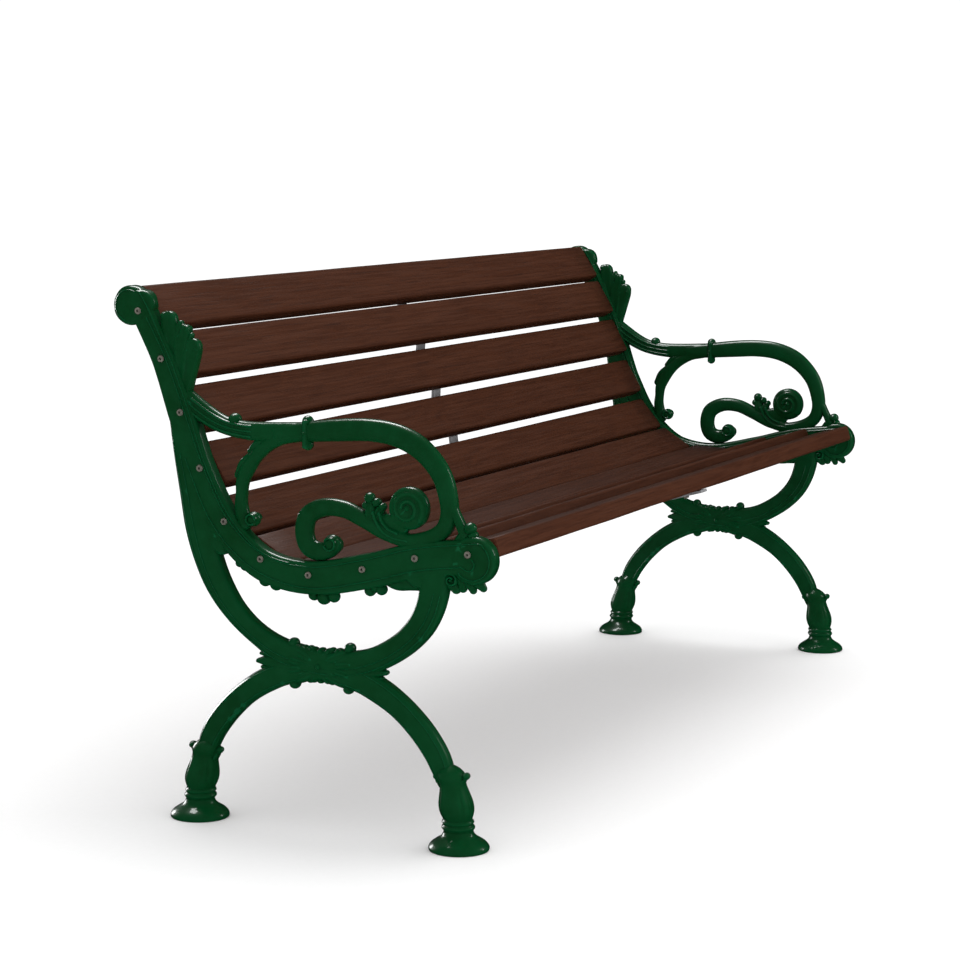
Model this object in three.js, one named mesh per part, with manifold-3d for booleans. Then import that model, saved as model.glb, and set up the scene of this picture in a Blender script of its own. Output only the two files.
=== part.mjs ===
// Garden bench: two ornamental cast end frames, ten wooden slats screwed between them,
// and a bent flat strap that holds the slats together at mid-length.
// Millimetres. +X runs along the bench, the sitter faces -Y and +Z is up.
// The origin is on the ground, under the middle of the bench.
import * as THREE from 'three';
import { mergeVertices } from 'three/addons/utils/BufferGeometryUtils.js';
import Module from 'manifold-3d';

const wasm = await Module();
wasm.setup();

// ---------------------------------------------------------------- driving dimensions
const overallLength = 1842; // over the feet
const overallDepth = 646; // front roundel to back roundel
const overallHeight = 821;
const fit = 0.3; // clearance between pieces that touch

// the end frame is drawn at this size, and the drawing is stretched to the overall sizes
const drawnDepth = 646;
const drawnHeight = 821;

// end frame casting, thickness along X
const frameThickness = 26; // rail, roundels, arches and legs
const armThickness = 22;
const scrollThickness = 20;
const leafThickness = 18;
const knotThickness = 34;
const outlineStep = 22; // spacing of the outline's corners along a band

// rail, measured square to the line of the screws
// along the screws, from the top of the back to the front of the seat: share of the way,
// from the screws to the edge that the sitter sees, and to the far edge
const railWidths = [
  [0, 20, 17], [0.11, 20, 20], [0.22, 20, 25.5], [0.33, 16, 29], [0.44, 18, 30], [0.56, 15, 34],
  [0.67, 20.5, 30.5], [0.78, 22, 31], [1, 22, 31],
];
const crestRadius = 22;
const crestBehind = 274; // Y of the crest, which caps the rail in front of the top roundel
const crestDrop = 6; // how far the crest's top lies under the top roundel's
const topRoundelRadius = 30.5;
const frontRoundelRadius = 36;
const frontRoundelHeight = 438;
const discSides = 20;

// knot where the arch and the legs cross
const knotReach = 84;
const knotRise = 25;
const knotHeight = 257;

// feet
const footDiameter = 92;
const feetSpread = 447; // between the front and rear foot centres
const feetMiddle = -40; // Y halfway between the feet
const archMiddle = -36; // Y of the crossing above the feet

// slats
const slatCount = 10;
const slatWidth = 73;
const slatThickness = 30;
const slatEdgeRadius = 5;

// slat end screws, with a hexagon socket
const screwDiameter = 6;
const screwHeadDiameter = 10.5;
const screwHeadHeight = 3.3;
const screwLength = 80;
const socketAcrossCorners = 4.6;
const socketDepth = 2;
const screwHoleSpare = 8; // how much deeper than its screw the hole in a slat's end is
const screwHoleSides = 10;
const screwSides = 8;

// strap and its screws
const strapWidth = 30;
const strapThickness = 5;
const strapBendInset = 2; // how far inside a slat's edge the strap starts to bend
const strapScrewDiameter = 5;
const strapScrewHeadDiameter = 10;
const strapScrewHeadHeight = 3;
const strapScrewLength = 25;
const strapHoleSpare = 3;
const strapHoleSides = 8;

const depthScale = overallDepth / drawnDepth;
const heightScale = overallHeight / drawnHeight;
const castScale = (depthScale + heightScale) / 2; // widths of the drawn bands and lobes
const frameX = (overallLength - footDiameter) / 2; // middle plane of each casting
const thickestAtSlats = Math.max(frameThickness, armThickness, scrollThickness, leafThickness);
const slatLength = 2 * frameX - thickestAtSlats - 2 * fit;

const enamel = new THREE.MeshStandardMaterial({ color: 0x0b4a2a, roughness: 0.28, metalness: 0.1 });
const stainedWood = new THREE.MeshStandardMaterial({ color: 0x4b291e, roughness: 0.55, metalness: 0 });
const galvanised = new THREE.MeshStandardMaterial({ color: 0x9a9a94, roughness: 0.45, metalness: 0.9 });

// ---------------------------------------------------------------- curves of the end frame
// Stations are [y, z] or [y, z, half width] on the drawing, listed along the casting.

// slat screws, from the top of the back to the front of the seat
const screwLine = [
  [276, 783], [236.5, 711.5], [203.5, 631.5], [170, 548], [128, 469], [65, 416], [-17, 397.5],
  [-108, 413], [-195, 436], [-281, 447.5],
];

// continuous bands: each has its stations and its thickness along X
const bands = {
  upperArch: {
    thickness: frameThickness,
    stations: [
      [211, 633, 17], [201, 573, 19], [188, 513, 22], [176, 455, 24], [161, 404, 22], [141, 363, 20],
      [113, 327, 17], [76, 297, 16], [30, 274, 19], [-37, 262, 20], [-86, 265, 20], [-127, 277, 19],
      [-168, 301, 19], [-196, 328, 20], [-212, 355, 21], [-221, 385, 22], [-226, 421, 22],
    ],
  },
  rearLeg: {
    thickness: frameThickness,
    stations: [
      [-36, 256, 19], [20, 245, 19], [61, 228, 19], [97, 205, 18], [129, 175, 18], [151, 145, 18],
      [165, 121, 17], [172, 98, 15],
    ],
  },
  armRest: {
    thickness: armThickness,
    stations: [
      [204, 655, 16], [184, 639, 15], [159, 623, 13], [133, 612, 12], [100, 607, 12], [60, 606, 14],
      [0, 610, 15], [-60, 615, 16], [-110, 617, 16], [-150, 613, 16], [-184, 601, 16], [-208, 582, 15],
      [-227, 558, 14], [-237, 528, 13], [-241, 503, 12],
    ],
  },
  armToe: {
    thickness: scrollThickness,
    stations: [[-240, 514, 10], [-254, 489, 8], [-269, 469, 9]],
  },
  armFoot: {
    thickness: scrollThickness,
    stations: [[-236, 520, 10], [-228, 494, 11], [-215, 473, 13], [-188, 460, 14], [-150, 453, 11]],
  },
  armLoop: {
    thickness: scrollThickness,
    stations: [
      [30, 599, 9], [66, 585, 11], [90, 563, 10], [106, 538, 12], [112, 511, 11], [106, 487, 10],
      [93, 461, 10],
    ],
  },
  seatScroll: {
    thickness: armThickness,
    stations: [
      [-50, 442, 11], [-32, 428, 10], [-9, 431, 12], [2, 459, 15], [-8, 487, 15], [-40, 501, 14],
      [-75, 496, 12], [-108, 483, 12], [-145, 467, 12], [-190, 455, 10],
    ],
  },
  backLeaf: {
    thickness: leafThickness,
    stations: [[239, 772, 13], [216, 744, 21], [200, 714, 18], [192, 683, 10], [191, 661, 6]],
  },
};

// cast ornaments: round lobes [y, z, radius] that stand out from the edges of the bands
const lobes = [
  // leaf up the front of the back
  [230, 772, 14], [199, 760, 8], [192, 732, 17], [190, 706, 11],
  // knobs on the arm rest, and the curl at the foot of its loop
  [116, 624, 10], [-10, 611, 22], [86, 475, 10],
  // bud on the scroll, volute at its end and ball at its start
  [-111, 499, 9], [-116, 513, 9], [-129, 504, 9], [-136, 492, 11], [-176, 503, 33], [-50, 443, 13],
  // beads at the corners of the knot, and the tips of its leaves
  [14, 288, 8], [12, 225, 8], [-79, 226, 8], [-80, 286, 8], [64, 258, 15], [-137, 255, 15],
  // webs between the seat rail and both ends of the arch
  [136, 432, 16], [-198, 400, 15],
];

// leaves under the seat rail: [place counted in slats from the top one, radius]
const railLeaves = [
  [4.7, 9], [5.07, 8], [5.26, 10], [5.93, 9], [6.09, 12], [6.26, 9], [6.98, 9], [7.2, 9], [7.56, 10],
];
// leaves and the bud around the front roundel: [degrees from +Y towards +Z, radius]
const roundelLeaves = [[77, 13], [-45, 16], [-76, 9], [-100, 7]];
const leafStandOff = 0.4; // how far a leaf's middle lies past the edge, as a share of its radius

// turned foot of each leg: [radius, height], from the ground to the collar
const footRadius = footDiameter / 2;
const footProfile = [
  [footRadius - 2, 0], [footRadius, 3], [footRadius - 1, 8], [36, 17], [24, 24], [22, 32], [25, 40],
  [23, 46], [27, 62], [26, 74], [20, 92], [19, 104], [28, 111], [28, 119], [18, 127],
];
const footLean = 17; // how far the collar stands in from the middle of the foot
const footSides = 16; // a multiple of four, so that the foot is its full width along X and Y

// ---------------------------------------------------------------- shape helpers
const framePlane = new THREE.Matrix4().makeBasis(
  new THREE.Vector3(0, 1, 0),
  new THREE.Vector3(0, 0, 1),
  new THREE.Vector3(1, 0, 0),
);

function placed([y, z]) {
  return new THREE.Vector2(y * depthScale, z * heightScale);
}

function toSolid(geometry) {
  const bare = geometry.clone();
  bare.deleteAttribute('normal');
  bare.deleteAttribute('uv');
  const merged = mergeVertices(bare, 1e-4);
  return new wasm.Manifold(new wasm.Mesh({
    numProp: 3,
    vertProperties: new Float32Array(merged.attributes.position.array),
    triVerts: new Uint32Array(merged.index.array),
  }));
}

function toGeometry(solid) {
  const mesh = solid.getMesh();
  const geometry = new THREE.BufferGeometry();
  geometry.setAttribute('position', new THREE.BufferAttribute(mesh.vertProperties, mesh.numProp));
  geometry.setIndex(new THREE.BufferAttribute(mesh.triVerts, 1));
  return geometry;
}

function joined(solids) {
  return solids.reduce((whole, next) => whole.add(next));
}

// a plate with its outline in the YZ plane, centred on x = 0
function plate(outline, thickness) {
  const geometry = new THREE.ExtrudeGeometry(new THREE.Shape(outline), {
    depth: thickness,
    bevelEnabled: false,
    steps: 1,
  });
  geometry.translate(0, 0, -thickness / 2);
  geometry.applyMatrix4(framePlane);
  return toSolid(geometry);
}

function smoothLine(points) {
  return new THREE.CatmullRomCurve3(points, false, 'catmullrom', 0.5);
}

// square to a line in the YZ plane; along the screw line it points back and down
function squareTo(line, share) {
  const along = line.getTangent(share);
  return new THREE.Vector2(-along.y, along.x).normalize();
}

// outline of a band, from how far each edge lies from its line; the ends are rounded
function bandOutline(line, frontAt, backAt, spacing) {
  const steps = Math.ceil(line.getLength() / spacing);
  const front = [];
  const back = [];
  for (let i = 0; i <= steps; i += 1) {
    const share = i / steps;
    const point = line.getPoint(share);
    const side = squareTo(line, share);
    front.push(new THREE.Vector2(point.x, point.y).addScaledVector(side, -frontAt(share, point)));
    back.push(new THREE.Vector2(point.x, point.y).addScaledVector(side, backAt(share, point)));
  }
  return [...front, ...roundEnd(front.at(-1), back.at(-1)), ...back.reverse(),
    ...roundEnd(back.at(-1), front[0])];
}

// points of a half circle from one corner of a band's end to the other, without the corners
function roundEnd(from, to) {
  const sides = 4;
  const middle = from.clone().add(to).multiplyScalar(0.5);
  const arm = from.clone().sub(middle);
  const points = [];
  for (let i = 1; i < sides; i += 1) {
    points.push(arm.clone().rotateAround(new THREE.Vector2(), (i / sides) * Math.PI).add(middle));
  }
  return points;
}

function band({ stations, thickness }) {
  const line = smoothLine(stations.map(([y, z, half]) => {
    const spot = placed([y, z]);
    return new THREE.Vector3(spot.x, spot.y, half * castScale);
  }));
  const half = (share, point) => point.z;
  return plate(bandOutline(line, half, half, outlineStep), thickness);
}

function circleOutline(centre, radius, sides) {
  return Array.from({ length: sides }, (_, i) => {
    const turn = (i / sides) * 2 * Math.PI;
    return new THREE.Vector2(centre.x + radius * Math.cos(turn), centre.y + radius * Math.sin(turn));
  });
}

function disc(centre, radius, thickness, sides) {
  return plate(circleOutline(centre, radius, sides), thickness);
}

// round bar along X, from x = from to x = to
function barAlongX(y, z, diameter, from, to, sides) {
  const geometry = new THREE.CylinderGeometry(diameter / 2, diameter / 2, to - from, sides);
  geometry.rotateZ(Math.PI / 2);
  geometry.translate((from + to) / 2, y, z);
  return toSolid(geometry);
}

// ---------------------------------------------------------------- places of the slats
const seatLine = smoothLine(screwLine.map((spot) => {
  const { x, y } = placed(spot);
  return new THREE.Vector3(x, y, 0);
}));

// where a slat is, and which way it lies: along runs down the slats, back is square to them
function slatPlace(index) {
  const share = index / (slatCount - 1);
  const point = seatLine.getPoint(share);
  const back = squareTo(seatLine, share);
  return {
    centre: new THREE.Vector2(point.x, point.y),
    back,
    along: new THREE.Vector2(back.y, -back.x),
  };
}
const slatPlaces = Array.from({ length: slatCount }, (_, index) => slatPlace(index));

// ---------------------------------------------------------------- end frames
function roundelCentres() {
  return {
    top: new THREE.Vector2(overallDepth / 2 - topRoundelRadius, overallHeight - topRoundelRadius),
    front: new THREE.Vector2(-overallDepth / 2 + frontRoundelRadius, frontRoundelHeight * heightScale),
  };
}

// one column of the rail's widths, at a share of the way along the screws
function railWidth(share, column) {
  const after = Math.max(1, railWidths.findIndex((row) => row[0] >= share));
  const [low, high] = [railWidths[after - 1], railWidths[after]];
  return THREE.MathUtils.mapLinear(share, low[0], high[0], low[column], high[column]);
}

function railFront(share) {
  return railWidth(share, 1);
}

function railBack(share) {
  return railWidth(share, 2);
}

function lobe(centre, radius) {
  return disc(centre, radius, leafThickness, Math.max(8, Math.round(radius / 2)));
}

function leavesUnderRail() {
  return railLeaves.map(([place, radius]) => {
    const { centre, back } = slatPlace(place);
    const edge = railBack(place / (slatCount - 1));
    return lobe(centre.clone().addScaledVector(back, edge + leafStandOff * radius), radius);
  });
}

function leavesAroundRoundel() {
  return roundelLeaves.map(([degrees, radius]) => {
    const reach = new THREE.Vector2(frontRoundelRadius + leafStandOff * radius, 0);
    reach.rotateAround(new THREE.Vector2(), THREE.MathUtils.degToRad(degrees));
    return lobe(roundelCentres().front.add(reach), radius);
  });
}

function rail() {
  const { top, front } = roundelCentres();
  const crest = new THREE.Vector2(crestBehind * depthScale, overallHeight - crestDrop - crestRadius);
  return joined([
    plate(bandOutline(seatLine, railFront, railBack, outlineStep), frameThickness),
    disc(crest, crestRadius, frameThickness, discSides),
    disc(top, topRoundelRadius, frameThickness, discSides),
    disc(front, frontRoundelRadius, frameThickness, discSides),
  ]);
}

function foot(direction) {
  const top = footProfile.at(-1)[1];
  const points = [new THREE.Vector2(0, 0)];
  for (const [radius, height] of footProfile) {
    points.push(new THREE.Vector2(radius, height * heightScale));
  }
  points.push(new THREE.Vector2(0, top * heightScale));
  const geometry = new THREE.LatheGeometry(points, footSides);
  geometry.rotateX(Math.PI / 2);
  const position = geometry.attributes.position;
  const middle = feetMiddle * depthScale + (direction * feetSpread * depthScale) / 2;
  for (let i = 0; i < position.count; i += 1) {
    const rise = position.getZ(i) / (top * heightScale);
    position.setY(i, position.getY(i) + middle - direction * footLean * depthScale * rise * rise);
  }
  return toSolid(geometry);
}

function leg(direction) {
  const stations = bands.rearLeg.stations.map(([y, z, half]) => (
    [archMiddle + direction * (y - archMiddle), z, half]
  ));
  return band({ stations, thickness: frameThickness });
}

function knot() {
  const heart = placed([archMiddle, knotHeight]);
  const outline = circleOutline(new THREE.Vector2(), castScale, 16).map(
    (point) => new THREE.Vector2(heart.x + knotReach * point.x, heart.y + knotRise * point.y),
  );
  return plate(outline, knotThickness);
}

// clearance holes for the slat screws
function screwHoles() {
  const reach = frameThickness;
  return joined(slatPlaces.map(({ centre }) => (
    barAlongX(centre.x, centre.y, screwDiameter + 2 * fit, -reach, reach, screwHoleSides)
  )));
}

function endFrame() {
  const single = Object.keys(bands).filter((name) => name !== 'rearLeg');
  const parts = [
    rail(),
    ...single.map((name) => band(bands[name])),
    leg(1),
    leg(-1),
    foot(1),
    foot(-1),
    knot(),
    ...lobes.map(([y, z, radius]) => lobe(placed([y, z]), radius * castScale)),
    ...leavesUnderRail(),
    ...leavesAroundRoundel(),
  ];
  return joined(parts).subtract(screwHoles());
}

// ---------------------------------------------------------------- slats
function slatOutline() {
  const corners = [[1, 1, 0], [-1, 1, 1], [-1, -1, 2], [1, -1, 3]];
  const cornerSides = 3;
  const points = [];
  for (const [sideX, sideY, quarter] of corners) {
    for (let i = 0; i <= cornerSides; i += 1) {
      const turn = (quarter + i / cornerSides) * (Math.PI / 2);
      points.push(new THREE.Vector2(
        sideX * (slatWidth / 2 - slatEdgeRadius) + slatEdgeRadius * Math.cos(turn),
        sideY * (slatThickness / 2 - slatEdgeRadius) + slatEdgeRadius * Math.sin(turn),
      ));
    }
  }
  return points;
}

// a slat lies along local Z, its width along local X and its underside towards local +Y
function slat() {
  const geometry = new THREE.ExtrudeGeometry(new THREE.Shape(slatOutline()), {
    depth: slatLength,
    bevelEnabled: false,
    steps: 1,
  });
  geometry.translate(0, 0, -slatLength / 2);
  const endHoles = [-1, 1].map((end) => {
    const depth = screwLength - frameThickness + screwHoleSpare;
    const hole = new THREE.CylinderGeometry(
      screwDiameter / 2 + fit,
      screwDiameter / 2 + fit,
      2 * depth,
      screwHoleSides,
    );
    hole.rotateX(Math.PI / 2);
    hole.translate(0, 0, (end * slatLength) / 2);
    return toSolid(hole);
  });
  const strapHoleDepth = strapScrewLength - strapThickness + strapHoleSpare;
  const strapHole = new THREE.CylinderGeometry(
    strapScrewDiameter / 2 + fit,
    strapScrewDiameter / 2 + fit,
    2 * strapHoleDepth,
    strapHoleSides,
  );
  strapHole.translate(0, slatThickness / 2, 0);
  return toSolid(geometry).subtract(joined([...endHoles, toSolid(strapHole)]));
}

function slatTurn({ back, along }) {
  return new THREE.Matrix4().makeBasis(
    new THREE.Vector3(0, along.x, along.y),
    new THREE.Vector3(0, back.x, back.y),
    new THREE.Vector3(1, 0, 0),
  );
}

// ---------------------------------------------------------------- screws and strap
// a screw along local Y: the head's underside is at y = 0 and the point is at y = -length
function screw({ diameter, headDiameter, headHeight, length, sides }) {
  const shank = diameter / 2;
  const head = headDiameter / 2;
  const profile = [
    [0, -length], [shank * 0.35, -length], [shank, -length + diameter], [shank, 0], [head, 0],
    [head, headHeight * 0.4], [head * 0.72, headHeight], [0, headHeight],
  ];
  const points = profile.map(([radius, height]) => new THREE.Vector2(radius, height));
  return toSolid(new THREE.LatheGeometry(points, sides));
}

function slatScrew() {
  const socketRadius = socketAcrossCorners / 2;
  const socket = new THREE.CylinderGeometry(socketRadius, socketRadius, 2 * socketDepth, 6);
  socket.translate(0, screwHeadHeight, 0);
  return screw({
    diameter: screwDiameter,
    headDiameter: screwHeadDiameter,
    headHeight: screwHeadHeight,
    length: screwLength,
    sides: screwSides,
  }).subtract(toSolid(socket));
}

function strapScrew() {
  return screw({
    diameter: strapScrewDiameter,
    headDiameter: strapScrewHeadDiameter,
    headHeight: strapScrewHeadHeight,
    length: strapScrewLength,
    sides: screwSides,
  });
}

// the strap lies flat on the back of each slat and bends in the gaps between them
function strap() {
  const nearFace = slatThickness / 2 + fit;
  const farFace = nearFace + strapThickness;
  const flat = slatWidth / 2 - strapBendInset;
  const inner = [];
  const outer = [];
  for (const { centre, back, along } of slatPlaces) {
    for (const end of [-flat, flat]) {
      inner.push(centre.clone().addScaledVector(along, end).addScaledVector(back, nearFace));
      outer.push(centre.clone().addScaledVector(along, end).addScaledVector(back, farFace));
    }
  }
  const body = plate([...inner, ...outer.reverse()], strapWidth);
  const holes = slatPlaces.map((place) => {
    const hole = new THREE.CylinderGeometry(
      strapScrewDiameter / 2 + fit,
      strapScrewDiameter / 2 + fit,
      4 * farFace,
      strapHoleSides,
    );
    hole.applyMatrix4(slatTurn(place));
    hole.translate(0, place.centre.x, place.centre.y);
    return toSolid(hole);
  });
  return body.subtract(joined(holes));
}

// ---------------------------------------------------------------- assembly
const bench = new THREE.Group();

function addPiece(name, geometry, material) {
  const mesh = new THREE.Mesh(geometry, material);
  mesh.name = name;
  bench.add(mesh);
  return mesh;
}

const castingGeometry = toGeometry(endFrame());
for (const [side, direction] of [['left', -1], ['right', 1]]) {
  const frame = addPiece(`${side}_end_frame`, castingGeometry, enamel);
  frame.position.x = direction * frameX;
}

const slatGeometry = toGeometry(slat());
const slatScrewGeometry = toGeometry(slatScrew());
const strapScrewGeometry = toGeometry(strapScrew());
const backSlats = 6;
slatPlaces.forEach((place, index) => {
  const { centre, back } = place;
  const label = index < backSlats ? `back_slat_${index + 1}` : `seat_slat_${index + 1 - backSlats}`;
  const board = addPiece(label, slatGeometry, stainedWood);
  board.quaternion.setFromRotationMatrix(slatTurn(place));
  board.position.set(0, centre.x, centre.y);

  for (const [side, direction] of [['left', -1], ['right', 1]]) {
    const endScrew = addPiece(`${label}_${side}_screw`, slatScrewGeometry, galvanised);
    endScrew.rotation.z = (-direction * Math.PI) / 2;
    endScrew.position.set(direction * (frameX + frameThickness / 2 + fit), centre.x, centre.y);
  }

  const seat = slatThickness / 2 + fit + strapThickness + fit;
  const fixing = addPiece(`${label}_strap_screw`, strapScrewGeometry, galvanised);
  fixing.quaternion.setFromRotationMatrix(slatTurn(place));
  fixing.position.set(0, centre.x + back.x * seat, centre.y + back.y * seat);
});

addPiece('centre_strap', toGeometry(strap()), galvanised);

export default bench;
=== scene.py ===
"""Garden bench: two ornamental cast end frames in green enamel, ten stained slats,
socket-head screws and a galvanised strap behind the slats.

Metres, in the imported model's frame: +X along the bench, the sitter faces -Y and +Z is up.
A casting is drawn in millimetres on the drawing of the end frame, [y, z] from the ground
under its middle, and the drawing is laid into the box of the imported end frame.
"""
import math

import bmesh
import bpy
import numpy as np
from mathutils import Matrix, Vector


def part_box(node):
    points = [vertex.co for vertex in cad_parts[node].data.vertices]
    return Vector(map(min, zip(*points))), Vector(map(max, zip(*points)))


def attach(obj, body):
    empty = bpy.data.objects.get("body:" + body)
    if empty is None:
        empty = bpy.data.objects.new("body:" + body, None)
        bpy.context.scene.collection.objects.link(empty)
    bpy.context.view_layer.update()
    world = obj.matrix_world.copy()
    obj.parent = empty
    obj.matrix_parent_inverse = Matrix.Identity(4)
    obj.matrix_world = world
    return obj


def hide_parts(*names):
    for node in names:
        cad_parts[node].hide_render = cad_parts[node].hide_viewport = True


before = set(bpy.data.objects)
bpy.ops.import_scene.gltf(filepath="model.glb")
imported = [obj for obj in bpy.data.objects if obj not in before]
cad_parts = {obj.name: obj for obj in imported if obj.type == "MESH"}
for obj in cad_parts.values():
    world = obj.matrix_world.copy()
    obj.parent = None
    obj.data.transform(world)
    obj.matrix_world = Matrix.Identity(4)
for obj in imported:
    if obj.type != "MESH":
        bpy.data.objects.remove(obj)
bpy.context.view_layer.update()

MM = 0.001
BODY = "root"
SIDES = {"left": -1, "right": 1}
BACK_SLATS = [f"back_slat_{number}" for number in range(1, 7)]
SEAT_SLATS = [f"seat_slat_{number}" for number in range(1, 5)]
SLATS = BACK_SLATS + SEAT_SLATS

# ---------------------------------------------------------------- the drawing of a casting
DRAWN_DEPTH = 646
DRAWN_HEIGHT = 821
ARCH_MIDDLE = -36     # y of the crossing above the feet
FEET_MIDDLE = -40     # y halfway between the feet
KNOT_MIDDLE = -33     # y of the leafy knot on the crossing
PLATE = 13            # half the thickness of the rail, the arches and the legs
ARM = 11.5            # half the thickness of the arm rest and the scrolls
EDGE = 5              # rounding along the edges of a plate

SCREW_HOLE = 3.3      # radius of the hole for a slat's screw

LINE_STEP = 4.5       # spacing of the rings along a moulding
FINE_STEP = 3

# along the screws, from the top of the back to the front of the seat: share of the way,
# from the screws to the edge that the sitter sees, and to the far edge
RAIL_WIDTHS = np.array([
    [0, 20, 17], [0.11, 20, 20], [0.22, 20, 25.5], [0.33, 16, 29], [0.44, 18, 30], [0.56, 15, 34],
    [0.67, 20.5, 30.5], [0.78, 22, 31], [1, 22, 31],
])

# stations [y, z, half width] along each moulding
UPPER_ARCH = [
    [211, 633, 17], [201, 573, 19], [188, 513, 22], [176, 455, 24], [161, 404, 22], [141, 363, 20],
    [113, 327, 17], [76, 297, 16], [30, 274, 19], [-37, 262, 20], [-86, 265, 20], [-127, 277, 19],
    [-168, 301, 19], [-196, 328, 20], [-212, 355, 21], [-221, 385, 22], [-226, 421, 22],
]
LEG = [
    [-36, 256, 19], [20, 245, 19], [61, 228, 19], [97, 205, 18], [129, 175, 18], [152, 145, 17.5],
    [164, 121, 16], [168, 104, 12],
]
ARM_REAR = [
    [204, 655, 16], [184, 641, 16], [159, 626, 15], [133, 615, 14], [100, 609, 14], [60, 608, 15],
    [0, 611, 15],
]
ARM_FRONT = [
    [40, 608, 13], [0, 611, 15], [-60, 617, 17], [-110, 620, 17], [-152, 616, 17], [-188, 603, 17],
    [-214, 583, 16], [-233, 558, 15], [-243, 528, 14], [-245, 503, 13], [-236, 480, 12.5],
    [-214, 466, 12], [-182, 459, 11], [-152, 462, 8],
]
ARM_TOE = [[-246, 522, 8], [-259, 497, 7], [-270, 476, 8]]
ARM_LOOP = [
    [8, 604, 9], [36, 599, 10], [62, 586, 11], [80, 569, 11], [94, 549, 11.5], [102, 531, 10.5],
    [104, 512, 9], [105, 495, 10], [102, 478, 11], [98, 464, 10],
]
SEAT_SCROLL = [
    [-56, 444, 12], [-44, 436, 13.5], [-26, 433, 14.5], [-10, 441, 15], [-4, 462, 15], [-11, 486, 15],
    [-38, 500, 14], [-72, 499, 13], [-105, 486, 12.5], [-145, 468, 12], [-190, 458, 9],
]


def line_through(stations, step):
    """A smooth line through the stations, with a ring about every step along it."""
    known = np.array(stations, float)
    first = 2 * known[0] - known[1]
    last = 2 * known[-1] - known[-2]
    known = np.vstack([first, known, last])
    pieces = []
    for before, start, end, after in zip(known, known[1:], known[2:], known[3:]):
        count = max(2, math.ceil(np.linalg.norm((end - start)[:2]) / step))
        t = np.linspace(0, 1, count, endpoint=False)[:, None]
        pieces.append(0.5 * (
            2 * start + (end - before) * t
            + (2 * before - 5 * start + 4 * end - after) * t ** 2
            + (3 * start - before - 3 * end + after) * t ** 3
        ))
    pieces.append(known[-2][None])
    return np.vstack(pieces)


def square_to(line):
    """Unit vectors square to a line; along the rail they point back and down."""
    along = np.gradient(line[:, :2], axis=0)
    along /= np.linalg.norm(along, axis=1)[:, None]
    return np.stack([-along[:, 1], along[:, 0]], axis=1), along


class Solid:
    """Rings of points that close into one solid, in drawing millimetres (x, y, z)."""

    def __init__(self, rings):
        self.rings = rings

    def mesh(self, name):
        rings = self.rings
        count = rings.shape[1]
        corners = [tuple(point) for point in rings.reshape(-1, 3)]
        faces = []
        for ring in range(len(rings) - 1):
            for side in range(count):
                a = ring * count + side
                b = ring * count + (side + 1) % count
                faces.append((a, b, b + count, a + count))
        faces.append(tuple(range(count))[::-1])
        faces.append(tuple(range((len(rings) - 1) * count, len(rings) * count)))
        mesh = bpy.data.meshes.new(name)
        mesh.from_pydata(corners, [], faces)
        mesh.validate()
        return mesh


def swept(line, across, lift, blunt=(1, 1), taper=0.5):
    """Sweeps a section along a line in the casting's middle plane, the same on both faces.

    across and lift give the outer face ring by ring, from one edge to the other, and lift is
    nothing at both edges. blunt says how round each end is, as a share of its half width.
    """
    side, along = square_to(line)
    centre = line[:, :2]
    turns = np.radians([25, 45, 62, 76, 86])
    for end, share in ((0, blunt[0]), (-1, blunt[1])):
        half = np.abs(across[end]).max()
        step = along[end] * (-1 if end == 0 else 1)
        new_centre = [centre[end] + step * share * half * math.sin(turn) for turn in turns]
        new_across = [across[end] * math.cos(turn) for turn in turns]
        new_lift = [lift[end] * math.cos(turn) ** taper for turn in turns]
        if end == 0:
            centre = np.vstack([new_centre[::-1], centre])
            across = np.vstack([new_across[::-1], across])
            lift = np.vstack([new_lift[::-1], lift])
            side = np.vstack([np.repeat(side[:1], len(turns), axis=0), side])
        else:
            centre = np.vstack([centre, new_centre])
            across = np.vstack([across, new_across])
            lift = np.vstack([lift, new_lift])
            side = np.vstack([side, np.repeat(side[-1:], len(turns), axis=0)])
    flat = centre[:, None, :] + side[:, None, :] * across[:, :, None]
    outer = np.concatenate([lift[:, :, None], flat], axis=2)
    inner = outer[:, -2:0:-1] * np.array([-1, 1, 1])
    return Solid(np.concatenate([outer, inner], axis=1))


def oval(half, thickness, count=15, power=2.5, relief=None):
    """A rounded section: its half width ring by ring, and its half thickness."""
    turn = np.linspace(0, math.pi, count)
    share = -np.sign(np.cos(turn)) * np.abs(np.cos(turn)) ** (2 / power)
    rise = np.clip(np.sin(turn), 0, 1) ** (2 / power)
    if relief is not None:
        rise = rise * (1 + relief(share))
    half = np.asarray(half, float)
    thickness = np.broadcast_to(np.asarray(thickness, float), half.shape)
    return half[:, None] * share[None], thickness[:, None] * rise[None]


def plate(front, back, thickness, count, relief, edge=EDGE):
    """A plate's section with rounded edges; relief(across, front, back) stands on its face."""
    front = np.asarray(front, float)[:, None]
    back = np.asarray(back, float)[:, None]
    turn = np.radians([0, 20, 42, 66, 90])[None]
    rounded_lift = thickness - edge + edge * np.sin(turn) + 0 * front
    near = -front + edge * (1 - np.cos(turn))
    far = back - edge * (1 - np.cos(turn))
    share = np.linspace(0, 1, count + 2)[None, 1:-1]
    middle = near[:, -1:] + (far[:, -1:] - near[:, -1:]) * share
    across = np.concatenate([-front, near, middle, far[:, ::-1], back], axis=1)
    lift = np.concatenate(
        [0 * front, rounded_lift, thickness + 0 * middle, rounded_lift[:, ::-1], 0 * front], axis=1)
    standing = relief(across, front, back) * np.clip(lift / thickness * 3 - 2, 0, 1)
    return across, lift + standing


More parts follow.
